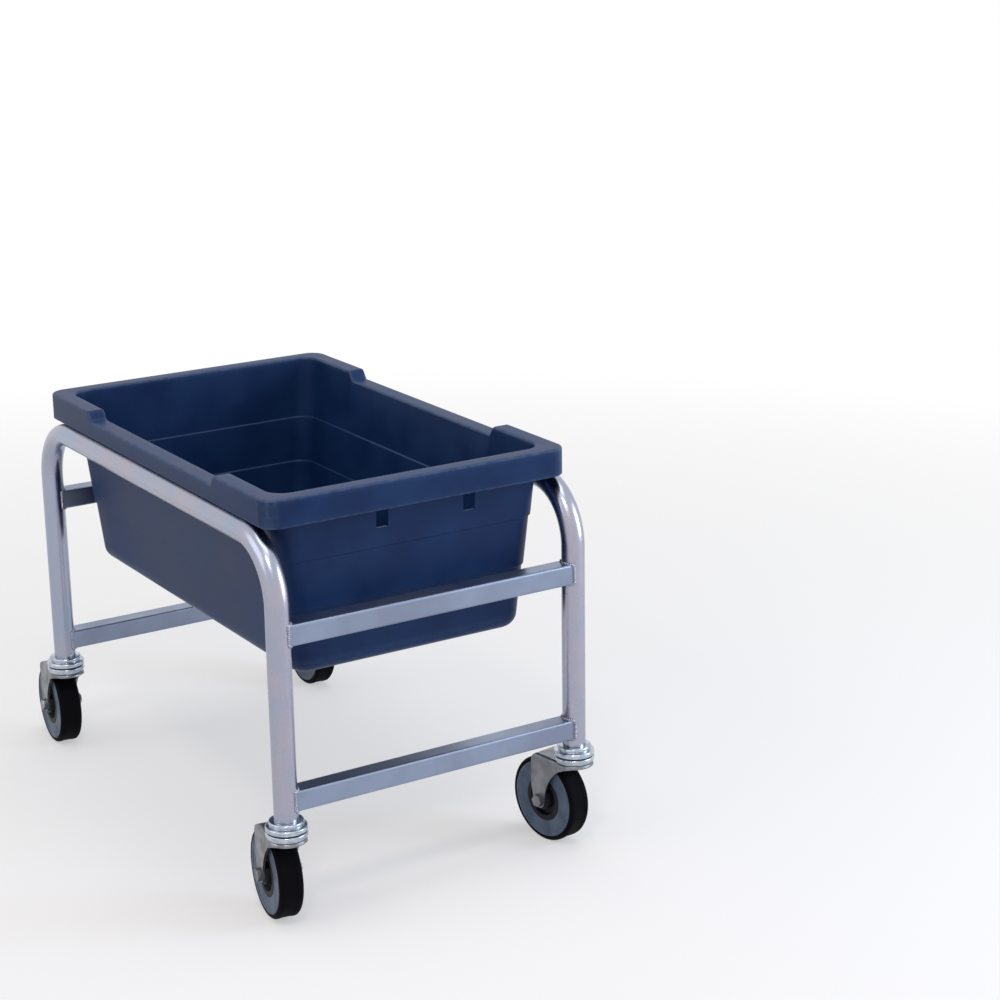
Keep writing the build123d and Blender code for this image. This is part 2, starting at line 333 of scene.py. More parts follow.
# Hardened steel under oil and floor dust: dark, with a dull shine.
DARK_STEEL = Finish(
    "oiled_dark_steel", "#5A5D66", "#474A52", roughness=0.4, spread=0.16, metallic=1.0, blotch_mm=8.0
)
# Injection moulded high-density polyethylene: a waxy half gloss, clouded pigment and a finely pebbled skin.
# The pebbles are drawn 1.4 mm across, coarser than real ones, so that they show.
LUG_PLASTIC = MouldedPolyethylene(
    "moulded_polyethylene_navy",
    "#122951",
    "#18325B",
    roughness=0.4,
    spread=0.06,
    specular=0.14,
    blotch_mm=60.0,
    grain_mm=1.4,
    grain_depth_mm=0.04,
)
# Injection moulded polyolefin wheel core: matt blue-grey, soiled in soft blotches.
CORE_PLASTIC = Finish(
    "moulded_polyolefin_grey",
    "#58697F",
    "#475669",
    roughness=0.5,
    specular=0.3,
    blotch_mm=18.0,
    grain_mm=1.0,
    grain_depth_mm=0.02,
)
# Near black matt plastic for the wheel's hub and a ring over the edge of its recess: painted shade in the deep recess.
PAINTED_SHADE_HUB = Finish(
    "painted_shade_hub_black", "#0B0E14", "#141820", roughness=0.55, specular=0.2, blotch_mm=8.0, grain_mm=1.0
)
# Moulded rubber tread: near black and matt, with a grey bloom of floor dust.
RUBBER = Finish(
    "moulded_rubber_black",
    "#040407",
    "#09090E",
    roughness=0.72,
    spread=0.16,
    specular=0.06,
    blotch_mm=12.0,
    grain_mm=0.9,
    grain_depth_mm=0.04,
)


def round_outline(corners: Sequence[Corner], steps: int = 4) -> list[Point]:
    """Round each corner of a closed outline by its own radius.

    Args:
        corners: Each corner's two coordinates and its radius; a radius of zero keeps it sharp.
        steps: Number of straight pieces in each rounded corner.

    Returns:
        The outline's points in order.
    """
    points: list[Point] = []
    for place, (x, y, radius) in enumerate(corners):
        if radius <= 0:
            points.append((x, y))
            continue
        corner = Vector((x, y))
        before = (Vector(corners[place - 1][:2]) - corner).normalized()
        after = (Vector(corners[(place + 1) % len(corners)][:2]) - corner).normalized()
        half = before.angle(after) / 2
        centre = corner + (before + after).normalized() * radius / math.sin(half)
        start = corner + before * radius / math.tan(half) - centre
        end = corner + after * radius / math.tan(half) - centre
        sweep = start.angle_signed(end)
        points += [tuple(centre + Matrix.Rotation(-sweep * step / steps, 2) @ start) for step in range(steps + 1)]
    return points


def both_faces(side: Sequence[Corner]) -> list[Corner]:
    """Mirror one face's outline of a wheel onto its other face, and join the two."""
    return [(edge, -height, corner) for edge, height, corner in reversed(side)] + list(side)


def arc(centre: Point, radius: float, start: float, end: float, steps: int) -> list[Point]:
    """Points on an arc, with its angles in degrees."""
    turns = [math.radians(start + (end - start) * step / steps) for step in range(steps + 1)]
    return [(centre[0] + radius * math.cos(turn), centre[1] + radius * math.sin(turn)) for turn in turns]


def circle(sides: int) -> list[Point]:
    """Points evenly spaced on a circle of radius one."""
    turns = [2 * math.pi * side / sides for side in range(sides)]
    return [(math.cos(turn), math.sin(turn)) for turn in turns]


def quarter_round(steps: int) -> Iterator[tuple[float, float, float]]:
    """Walk round a quarter circle of radius one.

    Args:
        steps: Number of straight pieces in it.

    Yields:
        How far each point has left the side it starts from, how far it still is from the side it ends on,
        and its share of the way.
    """
    for step in range(steps + 1):
        turn = math.pi / 2 * step / steps
        yield 1 - math.cos(turn), 1 - math.sin(turn), step / steps


def densify(loop: Sequence[Vector], spacing: float) -> Iterator[Vector]:
    """Walk round a closed loop in short steps.

    Args:
        loop: The loop's points.
        spacing: How far apart two points may be.

    Yields:
        The loop's own points, with further ones between them.
    """
    for place, point in enumerate(loop):
        after = loop[(place + 1) % len(loop)]
        pieces = max(1, math.ceil((after - point).length / spacing))
        for step in range(pieces):
            yield point.lerp(after, step / pieces)


@dataclass
class Draft:
    """Vertices and faces of one piece, gathered in millimetres before they become a mesh."""

    points: list[Vector] = field(default_factory=list)
    faces: list[tuple[int, ...]] = field(default_factory=list)
    corner_lengths: list[list[Point]] = field(default_factory=list)
    scuff_and_sheen: list[float] = field(default_factory=list)

    def add_rings(
        self,
        rings: Sequence[Sequence[Vector]],
        looped: bool = False,
        capped: bool = False,
        scuffs_and_sheen: Sequence[Sequence[float]] | None = None,
    ) -> None:
        """Skin a stack of closed rings that all have the same number of points.

        Args:
            rings: The rings in order, each anticlockwise about the direction in which they are stacked.
            looped: Whether the last ring joins the first.
            capped: Whether the first and last ring are closed with a face.
            scuffs_and_sheen: How pale each point of each ring is drawn, for scuffs and for painted sheen and
                highlight, from none at 0 to all at 1.
        """
        first = len(self.points)
        count = len(rings[0])
        for index, ring in enumerate(rings):
            self.points.extend(ring)
            self.scuff_and_sheen.extend(scuffs_and_sheen[index] if scuffs_and_sheen else [0.0] * count)
        along = 0.0
        for row in range(len(rings) if looped else len(rings) - 1):
            row_after = (row + 1) % len(rings)
            low, high = rings[row], rings[row_after]
            base, top = first + row * count, first + row_after * count
            step = (high[0] - low[0]).length
            around_low = around_high = 0.0
            for place in range(count):
                after = (place + 1) % count
                next_low = around_low + (low[after] - low[place]).length
                next_high = around_high + (high[after] - high[place]).length
                self.faces.append((base + place, base + after, top + after, top + place))
                self.corner_lengths.append(
                    [(along, around_low), (along, next_low), (along + step, next_high), (along + step, around_high)]
                )
                around_low, around_high = next_low, next_high
            along += step
        if capped:
            last = first + (len(rings) - 1) * count
            self.add_face([first + place for place in reversed(range(count))])
            self.add_face([last + place for place in range(count)])

    def add_face(self, indices: Sequence[int]) -> None:
        """Add one flat face over points that are already there."""
        self.faces.append(tuple(indices))
        self.corner_lengths.append([(self.points[i].x, self.points[i].y) for i in indices])

    def add_lathe(self, outline: Sequence[Point], place: Matrix, segments: int) -> None:
        """Turn a closed outline of radius and height about an axis.

        Args:
            outline: Closed outline, as radius and height along the axis.
            place: Takes the lathe's own frame, with its axis along +Z, to the part's frame.
            segments: Number of flats round the circle.
        """
        spokes = circle(segments)
        rings = [[place @ Vector((radius * x, radius * y, height)) for x, y in spokes] for radius, height in outline]
        self.add_rings(rings, looped=True)

    def add_prism(self, outline: Sequence[Point], place: Matrix, low: float, high: float) -> None:
        """Stretch an outline of x and y along z, between two levels of its own frame."""
        self.add_rings([[place @ Vector((x, y, z)) for x, y in outline] for z in (low, high)], capped=True)

    def add_block(self, low: Sequence[float], high: Sequence[float]) -> None:
        """Add a plain block between two corners."""
        (x0, y0, z0), (x1, y1, z1) = low, high
        self.add_prism([(x0, y0), (x1, y0), (x1, y1), (x0, y1)], Matrix.Identity(4), z0, z1)

    def make(
        self, name: str, finish: Finish, body: str, slot: str, sharpness: Sharpness = Sharpness.MACHINED
    ) -> bpy.types.Object:
        """Turn the draft into a dressed piece that rides on a body.

        Args:
            name: Name of the piece.
            finish: Its surface finish.
            body: The body that it rides on.
            slot: The record's material slot; not used.
            sharpness: How far its skin may turn before an edge shows.

        Returns:
            The new object.
        """
        mesh = bpy.data.meshes.new(name)
        mesh.from_pydata([point * MM for point in self.points], [], self.faces)
        lengths = mesh.uv_layers.new(name="length")
        flat = [pair for face in self.corner_lengths for pair in face]
        for place, (along, around) in enumerate(flat):
            lengths.data[place].uv = (along * MM, around * MM)
        # How pale each point is drawn, for scuffs and for painted sheen and highlight
        scuff_and_sheen = mesh.attributes.new("scuff_and_sheen", "FLOAT", "POINT")
        scuff_and_sheen.data.foreach_set("value", self.scuff_and_sheen)
        mesh.materials.append(finish.material())
        mesh.validate()
        mesh.shade_smooth()
        mesh.set_sharp_from_angle(angle=math.radians(sharpness.value))
        piece = bpy.data.objects.new(name, mesh)
        bpy.context.scene.collection.objects.link(piece)
        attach(piece, body)
        LOG.info("%s: %d faces on %s", name, len(mesh.polygons), body)
        return piece

    def carve(self, piece: bpy.types.Object, cut: Cut, sharpness: Sharpness = Sharpness.MACHINED) -> None:
        """Shape a piece with this draft as the tool, and bake the result into its mesh.

        Args:
            piece: The piece that is shaped.
            cut: What the tool leaves of it.
            sharpness: How far the piece's skin may turn before an edge shows.
        """
        mesh = bpy.data.meshes.new("tool")
        mesh.from_pydata([point * MM for point in self.points], [], self.faces)
        tool = bpy.data.objects.new("tool", mesh)
        bpy.context.scene.collection.objects.link(tool)
        shaped = piece.modifiers.new("carve", "BOOLEAN")
        shaped.object = tool
        shaped.operation = cut.value
        shaped.solver = "EXACT"
        bpy.context.view_layer.update()
        baked = bpy.data.meshes.new_from_object(piece.evaluated_get(bpy.context.evaluated_depsgraph_get()))
        piece.modifiers.clear()
        piece.data = baked
        bpy.data.objects.remove(tool)
        baked.shade_smooth()
        baked.set_sharp_from_angle(angle=math.radians(sharpness.value))


def soften(piece: bpy.types.Object, edge_mm: float) -> None:
    """Round a piece's edges off without changing its own mesh.

    Args:
        piece: The piece.
        edge_mm: Width of the softened edge.
    """
    edge = piece.modifiers.new("edge", "BEVEL")
    edge.width = edge_mm * MM
    edge.segments = 2
    edge.limit_method = "ANGLE"
    edge.angle_limit = math.radians(EDGE_DEGREES)


def dress_node(node: str, finish: Finish, edge_mm: float) -> None:
    """Give a node of the frame its finish, and soften its edges.

    Args:
        node: Name of the node.
        finish: Its surface finish.
        edge_mm: Width of the softened edge.
    """
    piece = bpy.data.objects[node]
    piece.data.materials.clear()
    piece.data.materials.append(finish.material())
    joined = piece.modifiers.new("join", "WELD")
    joined.merge_threshold = JOINED_MM * MM
    flat = piece.modifiers.new("flat", "DECIMATE")
    flat.decimate_type = "DISSOLVE"
    flat.angle_limit = math.radians(FLAT_DEGREES)
    soften(piece, edge_mm)
    LOG.info("%s: dressed", node)


@dataclass
class CartPlan:
    """Where things are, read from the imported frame, in millimetres."""

    joints: dict[str, dict[str, Any]]

    def node(self, name: str) -> tuple[Vector, Vector]:
        """Lowest and highest corner of a node."""
        low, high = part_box(name)
        return low / MM, high / MM

    @property
    def middle(self) -> float:
        """Distance along X of the middle of the rails."""
        low, high = self.node("right_side_frame")
        return (low.x + high.x) / 2

    def wheel(self, corner: str) -> Matrix:
        """Frame of a wheel, with its axle along +Z.

        Args:
            corner: The corner of the cart that the wheel is at.

        Returns:
            What takes that frame to the part's.
        """
        roll = self.joints[f"roll_{corner}"]
        turn = Vector(roll["axis"]).to_track_quat("Z", "X").to_matrix().to_4x4()
        return Matrix.Translation(Vector(roll["pos_m"]) / MM) @ turn

    def castor(self, corner: str) -> Matrix:
        """Frame of a castor on the floor under its leg, with +X towards the wheel and +Z up.

        Args:
            corner: The corner of the cart that the castor is at.

        Returns:
            What takes that frame to the part's.
        """
        leg = Vector(self.joints[f"swivel_{corner}"]["pos_m"]) / MM
        wheel = self.wheel(corner).translation
        heading = math.atan2(wheel.y - leg.y, wheel.x - leg.x)
        return Matrix.Translation((leg.x, leg.y, 0.0)) @ Matrix.Rotation(heading, 4, "Z")


@dataclass
class TubeFrame:
    """Two bent side frames, four crossbars coped to their legs, and the welds between them."""

    plan: CartPlan
    tube_wall: float = 1.7
    bend_radius: float = 72.0
    bar_corner: float = 2.6
    bar_wall: float = 1.7
    bead_radius: float = 2.1
    bead_sides: int = 12
    ripple_pitch: float = 2.6
    ripple_share: float = 0.16
    # How the bead's size wanders: share of its size, length along it and start
    wander: tuple[Corner, ...] = ((0.1, 7.3, 0.0), (0.06, 3.1, 1.7))
    # Where along a crossbar its section is repeated, as shares of the way to each coped end
    bar_stations: tuple[float, ...] = (-1.0, -0.6, 0.6, 1.0)
    segments: int = 64
    bend_steps: int = 36
    corner_steps: int = 5
    side_steps: int = 14

    def __post_init__(self) -> None:
        """Read how thick the legs are and how far from the cart's middle they stand."""
        low, high = self.plan.node("left_side_frame")
        self.leg_radius = (high.y - low.y) / 2
        self.leg_y = (low.y + high.y) / 2

    def build(self) -> None:
        """Build and dress every piece of the frame."""
        for side in ("right", "left"):
            self.side_frame(side)
        for end in ("front", "rear"):
            for level in ("lower", "upper"):
                self.crossbar(f"{end}_{level}_crossbar")

    def side_frame(self, side: str) -> None:
        """Sweep one tube up a leg, along the rail and down the other leg.

        Args:
            side: The side of the cart that it stands on.
        """
        node = f"{side}_side_frame"
        low, high = self.plan.node(node)
        across = (low.y + high.y) / 2
        rear, front = low.x + self.leg_radius, high.x - self.leg_radius
        below_rail = high.z - self.leg_radius - self.bend_radius
        centreline = [(Vector((rear, across, low.z)), 0.0)]
        for centre_x, start in ((rear + self.bend_radius, 0.0), (front - self.bend_radius, math.pi / 2)):
            centre = Vector((centre_x, across, below_rail))
            for step in range(self.bend_steps + 1):
                angle = start + math.pi / 2 * step / self.bend_steps
                centreline.append((centre + self.spoke(angle) * self.bend_radius, angle))
        centreline.append((Vector((front, across, low.z)), math.pi))
        bore = self.leg_radius - self.tube_wall
        outer = [self.tube_ring(point, angle, self.leg_radius) for point, angle in centreline]
        inner = [self.tube_ring(point, angle, bore) for point, angle in reversed(centreline)]
        draft = Draft()
        draft.add_rings(outer + inner, looped=True)
        piece = draft.make(f"bent_tube_{side}", TUBE, "root", "frame_tube")
        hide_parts(node)

    def spoke(self, angle: float) -> Vector:
        """Outward direction of a bend, which turns from the rear end over the top to the front end."""
        return Vector((-math.cos(angle), 0, math.sin(angle)))

    def tube_ring(self, centre: Vector, angle: float, radius: float) -> list[Vector]:
        """Circle square to the centreline, whose outward spoke stands at the given angle."""
        outward, across = self.spoke(angle), Vector((0, 1, 0))
        return [centre + (outward * out + across * aside) * radius for out, aside in circle(self.segments)]

    def coped_end(self, x: float) -> float:
        """How far from the cart's middle a crossbar meets the leg, at a distance across the bar."""
        return self.leg_y - math.sqrt(self.leg_radius**2 - x**2)

    def crossbar(self, node: str) -> None:
        """Make one square tube with its ends coped to the legs, and lay a bead round both ends.

        Args:
            node: The crossbar's node in the frame.
        """
        low, high = self.plan.node(node)
        centre = (low + high) / 2
        half = (high.x - low.x) / 2
        outer = self.square(half, self.bar_corner)
        inner = self.square(half - self.bar_wall, self.bar_corner - self.bar_wall)
        rings = [
            [centre + Vector((x, share * self.coped_end(x) - centre.y, z)) for x, z in section]
            for section, shares in ((outer, self.bar_stations), (inner, self.bar_stations[::-1]))
            for share in shares
        ]
        draft = Draft()
        draft.add_rings(rings, looped=True)
        piece = draft.make(f"square_tube_{node}", BAR, "root", "crossbar")
        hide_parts(node)
        for side, sign in (("right", -1), ("left", 1)):
            seat = [Vector((centre.x + x, sign * self.coped_end(x), centre.z + z)) for x, z in outer]
            self.weld(f"weld_{node}_{side}", centre, seat)

    def square(self, half: float, corner: float) -> list[Point]:
        """Rounded square section, with points along its sides so that a coped end stays true.

        Args:
            half: Half of its width.
            corner: Radius of its corners.

        Returns:
            The section's points in order.
        """
        corners = [(-half, -half, corner), (half, -half, corner), (half, half, corner), (-half, half, corner)]
        outline = round_outline(corners, self.corner_steps)
        dense: list[Point] = []
        for place, (x, z) in enumerate(outline):
            x_after, z_after = outline[(place + 1) % len(outline)]
            pieces = self.side_steps if math.hypot(x_after - x, z_after - z) > half / 2 else 1
            shares = [step / pieces for step in range(pieces)]
            dense += [(x + (x_after - x) * share, z + (z_after - z) * share) for share in shares]
        return dense

    def weld(self, name: str, centre: Vector, seat: Sequence[Vector]) -> None:
        """Lay a rippled fillet bead where the bar's outline meets the leg.

        Args:
            name: Name of the bead.
            centre: Middle of the bar.
            seat: Loop in which the bar meets the leg.
        """
        loop = list(densify(seat, self.ripple_pitch / 4))
        rings: list[list[Vector]] = []
        travelled = 0.0
        for place, point in enumerate(loop):
            before, after = loop[place - 1], loop[(place + 1) % len(loop)]
            ahead = (after - before).normalized()
            travelled += (point - before).length
            ripple = 1.0 + self.ripple_share * math.sin(2 * math.pi * travelled / self.ripple_pitch)
            wander = 1.0 + sum(share * math.sin(travelled / length + start) for share, length, start in self.wander)
            size = self.bead_radius * ripple * wander
            out = point - centre
            out.y = 0.0
            out = (out - ahead * out.dot(ahead)).normalized()
            side = ahead.cross(out)
            rings.append([point + (out * x + side * y) * size for x, y in circle(self.bead_sides)])
        draft = Draft()
        draft.add_rings(rings, looped=True)
        draft.make(name, WELD, "root", "frame_tube", Sharpness.SOFT)


@dataclass
class Ring:
    """One level of the lug's skin: a rounded rectangle, its height, and how far the recess lowers it."""

    half_x: float
    half_y: float
    corner: float
    height: float
    lowered: float = 0.0
    # How pale the ring is drawn for scuffs and painted sheen, and how strongly a painted highlight pales its upright
    # corners
    scuff_and_sheen: float = 0.0
    corner_highlight: float = 0.0


@dataclass
class MouldedLug:
    """The lug: drafted walls with two ledges, under a hollow rim that is cut down along both long sides."""

    plan: CartPlan
    wall: float = 3.2
    bottom_length: float = 570.0
    bottom_width: float = 312.0
    flange: float = 20.0
    rim_height: float = 34.0
    wall_corner: float = 26.0
    rim_corner: float = 22.0
    bottom_fillet: float = 16.0
    edge_fillet: float = 3.0
    hollow_fillet: float = 2.0
    lip: float = 0.8
    ledge: float = 1.5
    ledge_depths: Point = (148.0, 86.0)
    # Rings over a ledge: height from its middle, stages past it, share of its width and how pale it is drawn, for
    # scuffs and for the painted sheen on the ledge's edge
    ledge_rings: tuple[tuple[float, int, float, float], ...] = (
        (-6.0, 0, 0.0, 0.0),
        (-0.8, 0, 0.0, 0.02),
        (-0.1, 0, 0.4, 0.1),
        (0.1, 0, 0.6, 0.1),
        (0.8, 1, 0.0, 0.02),
        (6.0, 1, 0.0, 0.0),
    )
    recess_half: float = 176.0
    recess_ramp: float = 8.0
    recess_depth: float = 12.0
    # Distances from the middle at which the walls get their points, and shares of the ramp for more of them
    end_stations: tuple[float, ...] = (30.0, 57.0, 73.0, 90.0, 105.0)
    side_stations: tuple[float, ...] = (40.0, 85.0, 130.0, 160.0)
    ramp_stations: tuple[float, ...] = (-0.4, -0.15, 0.1, 0.3, 0.5, 0.7, 0.9, 1.15, 1.4)
    outer_stations: tuple[float, ...] = (205.0, 228.0)
    slot_width: float = 16.0
    slot_height: float = 22.0
    slot_spacing: float = 118.0
    slot_offset: float = 16.0
    slot_below_rim: float = 6.0
    slot_reach: float = 14.0
    rib_thickness: float = 2.5
    rib_pitch: float = 66.0
    rib_lift: float = 1.0
    rib_into_rim: float = 0.4
    rib_into_wall: float = 0.6
    grip_width: float = 130.0
    # How strongly a painted highlight pales the rim's upright outer corners
    painted_corner_highlight: float = 0.4
    corner_steps: int = 14
    bottom_steps: int = 8
    edge_steps: int = 6

    def __post_init__(self) -> None:
        """Read the lug's box, from which its outline hangs."""
        self.low, self.high = self.plan.node("lug_tub")
        self.half_x = (self.high.x - self.low.x) / 2
        self.half_y = (self.high.y - self.low.y) / 2
        self.height = self.high.z - self.low.z
        self.last_stage = len(self.ledge_depths)

    def build(self) -> None:
        """Build the shell with its slots, and the ribs under its rim."""
        shell = self.shell()
        self.cut_slots(shell)
        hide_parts("lug_tub")
        self.ribs()

    def wall_half(self, height: float, stage: int) -> Point:
        """Size of the wall's outer face.

        Args:
            height: Height above the lug's bottom.
            stage: Number of ledges below.

        Returns:
            Half length and half width.
        """
        share = height / self.height
        margin = self.flange + self.ledge * self.last_stage
        grow_x = self.half_x - margin - self.bottom_length / 2
        grow_y = self.half_y - margin - self.bottom_width / 2
        widened = self.ledge * stage
        return self.bottom_length / 2 + grow_x * share + widened, self.bottom_width / 2 + grow_y * share + widened

    def wall_ring(self, height: float, stage: int, inset: float, lowered: float = 0.0, scuff_and_sheen: float = 0.0) -> Ring:
        """Ring on the wall, set in from its outer face."""
        half_x, half_y = self.wall_half(height, stage)
        return Ring(half_x - inset, half_y - inset, self.wall_corner - inset, height, lowered, scuff_and_sheen)

    def rim_ring(self, inset: float, height: float, lowered: float, scuff_and_sheen: float = 0.0) -> Ring:
        """Ring on the rim, set in from its skirt."""
        return Ring(self.half_x - inset, self.half_y - inset, self.rim_corner - inset, height, lowered, scuff_and_sheen)

    def wall_rings(self, inset: float) -> list[Ring]:
        """Go up one face of the wall from the bottom's edge, over its ledges.

        Args:
            inset: How far the face lies inside the outer one.

        Returns:
            The face's rings in order.
        """
        fillet = self.bottom_fillet - inset
        scuff = 0.0 if inset else 0.12
        rings = [
            self.wall_ring(inset + fillet * rise, 0, inset + fillet * edge, scuff_and_sheen=scuff)
            for rise, edge, _ in quarter_round(self.bottom_steps)
        ]
        rings.append(self.wall_ring(inset + fillet + 5.0, 0, inset))
        for stage, depth in enumerate(self.ledge_depths):
            middle = self.height - depth + inset
            rings += [
                self.wall_ring(middle + rise, stage + past, inset - self.ledge * share, scuff_and_sheen=scuff_and_sheen)
                for rise, past, share, scuff_and_sheen in self.ledge_rings
            ]
        rings.append(self.wall_ring(self.height - self.recess_depth - 12.0, self.last_stage, inset))
        return rings

    def profile(self) -> list[Ring]:
        """Go round the lug's section, from under its floor, out round the rim and back down inside.

        Returns:
            The skin's rings in order.
        """
        top = self.height
        ceiling = top - self.wall
        skirt_low = top - self.rim_height
        last, fillet, lip = self.last_stage, self.edge_fillet, self.lip
        bend, bend_middle = self.hollow_fillet, self.hollow_fillet * 0.3
        rings = self.wall_rings(0.0)
        for height, inset in ((ceiling - bend, 0.0), (ceiling - bend_middle, -bend_middle), (ceiling, -bend)):
            rings.append(self.wall_ring(height, last, inset, 1.0))
        # Inset from the skirt, height, share of the recess and how pale it is drawn, for scuffs and for painted sheen
        for level in (
            (self.wall + bend, ceiling, 1.0),
            (self.wall + bend_middle, ceiling - bend_middle, 1.0),
            (self.wall, ceiling - bend, 1.0),
            (self.wall, skirt_low + 10.0, 0.0),
            (self.wall, skirt_low + lip, 0.0, 0.2),
            (self.wall - lip, skirt_low, 0.0, 0.3),
            (lip, skirt_low, 0.0, 0.4),
            (0.0, skirt_low + lip, 0.0, 0.4),
            (0.0, skirt_low + 3.0, 0.0, 0.06),
            (0.0, skirt_low + 8.0, 0.0),
            (0.0, top - fillet - 5.0, 1.0),
        ):
            rings.append(self.rim_ring(*level))
        # The edges over the rim are drawn paler in their middle, for scuffs and for painted sheen
        for inward, below, share in quarter_round(self.edge_steps):
            scuff_and_sheen = 0.1 + 0.45 * math.sin(math.pi * share)
            rings.append(self.rim_ring(fillet * inward, top - fillet * below, 1.0, scuff_and_sheen))
        rings.append(self.rim_ring(fillet + 3.0, top, 1.0, 0.05))
        rings.append(self.rim_ring(self.flange / 2 + 2.0, top, 1.0, 0.02))
        for below, outward, share in quarter_round(self.edge_steps):
            scuff_and_sheen = 0.08 + 0.4 * math.sin(math.pi * share)
            rings.append(self.wall_ring(top - fillet * below, last, self.wall - fillet * outward, 1.0, scuff_and_sheen))
        # The rim's upright outer corners get a painted highlight
        for ring in rings:
            if ring.half_x > self.half_x - fillet:
                ring.corner_highlight = self.painted_corner_highlight
        rings.append(self.wall_ring(top - fillet - 4.0, last, self.wall, 1.0))
        rings += self.wall_rings(self.wall)[::-1]
        return rings

    def lowering(self, x: float) -> float:
        """How far the rim is cut down by the recess, which runs out over a soft ramp.

        Args:
            x: Distance along the lug from its middle.

        Returns:
            The depth of the recess there.
        """
        share = (abs(x) - self.recess_half + self.recess_ramp * 0.2) / (self.recess_ramp * 1.4)
        share = min(1.0, max(0.0, share))
        return self.recess_depth * (1 - share * share * (3 - 2 * share))

    def stations(self) -> list[list[float]]:
        """Distances from the middle at which every ring gets its points.

        Returns:
            Those along the end walls, and those along the side walls.
        """
        ramp = [self.recess_half + self.recess_ramp * share for share in self.ramp_stations]
        sides = [*self.side_stations, *ramp, *self.outer_stations]
        return [[-x for x in reversed(half)] + [0.0] + half for half in (list(self.end_stations), sides)]

    def ring_points(self, ring: Ring) -> list[Vector]:
        """Place one ring's points, at the same stations along the sides as on every other ring.

        Args:
            ring: The ring.

        Returns:
            Its points in order.
        """
        side_y, side_x = self.stations()
        corner_x = ring.half_x - ring.corner
        corner_y = ring.half_y - ring.corner
        sides = (
            [(ring.half_x, y) for y in side_y],
            [(x, ring.half_y) for x in reversed(side_x)],
            [(-ring.half_x, y) for y in reversed(side_y)],
            [(x, -ring.half_y) for x in side_x],
        )
        outline: list[Point] = []
        for side, (sign_x, sign_y) in enumerate(((1, -1), (1, 1), (-1, 1), (-1, -1))):
            centre = (sign_x * corner_x, sign_y * corner_y)
            outline += arc(centre, ring.corner, 90 * side - 90, 90 * side, self.corner_steps)
            outline += sides[side]
        base = Vector((self.plan.middle, 0.0, self.low.z + ring.height))
        return [
            base + Vector((x, y, -self.lowering(x) * ring.lowered if abs(y) > corner_y else 0.0)) for x, y in outline
        ]

    def shell(self) -> bpy.types.Object:
        """Skin the lug as one closed shell.

        Returns:
            The shell.
        """
        rings = self.profile()
        draft = Draft()
        draft.add_rings(
            [self.ring_points(ring) for ring in rings], capped=True, scuffs_and_sheen=[self.scuff_and_sheen(ring) for ring in rings]
        )
        return draft.make("lug_shell", LUG_PLASTIC, "lug", "lug")

    def scuff_and_sheen(self, ring: Ring) -> list[float]:
        """Say how pale each point of a ring is drawn, for scuffs and painted sheen; a painted highlight pales its
        upright corners most in their middle.

        Args:
            ring: The ring.

        Returns:
            How pale each of its points is drawn, from 0 to 1.
        """
        steps = self.corner_steps
        corner = [math.sin(math.pi * step / steps) ** 2 for step in range(steps + 1)]
        worn: list[float] = []
        for stations in self.stations() * 2:
            worn += [min(1.0, ring.scuff_and_sheen + ring.corner_highlight * share) for share in corner]
            worn += [ring.scuff_and_sheen] * len(stations)
        return worn

    def cut_slots(self, shell: bpy.types.Object) -> None:
        """Cut the two slots through the front wall, just under the rim.

        Args:
            shell: The lug's shell.
        """
        top = self.high.z - self.rim_height - self.slot_below_rim
        wall = self.plan.middle + self.half_x - self.flange
        draft = Draft()
        for side in (-1, 1):
            across = self.slot_offset + side * self.slot_spacing / 2
            draft.add_block(
                (wall - self.slot_reach, across - self.slot_width / 2, top - self.slot_height),
                (wall + self.slot_reach, across + self.slot_width / 2, top),
            )
        draft.carve(shell, Cut.OUTSIDE)

    def ribs(self) -> None:
        """Stand thin ribs across the hollow under the rim, clear of both hand grips."""
        draft = Draft()
        up = Vector((0, 0, 1))
        low = self.height - self.rim_height + self.rib_lift
        ceiling = self.height - self.wall + self.rib_into_rim
        count = int((self.half_x - self.rim_corner) / self.rib_pitch)
        stations = [step * self.rib_pitch for step in range(-count, count + 1)]
        grips = [side * self.grip_width / 2 for side in (-1, 1)]
        for axis, half, places in ((0, self.half_x, grips), (1, self.half_y, stations)):
            outer = half - self.wall + self.rib_into_rim
            for side in (-1, 1):
                outward = Vector((side * (1 - axis), side * axis, 0.0))
                turn = Matrix((outward, up, outward.cross(up))).transposed().to_4x4()
                for place in places:
                    high = ceiling - self.lowering(place) * axis
                    feet = [self.wall_half(level, self.last_stage)[axis] - self.rib_into_wall for level in (low, high)]
                    base = Vector((self.plan.middle + place * axis, place * (1 - axis), self.low.z))
                    draft.add_prism(
                        [(feet[0], low), (outer, low), (outer, high), (feet[1], high)],
                        Matrix.Translation(base) @ turn,
                        -self.rib_thickness / 2,
                        self.rib_thickness / 2,
                    )
        draft.make("lug_rim_ribs", LUG_PLASTIC, "lug", "lug")


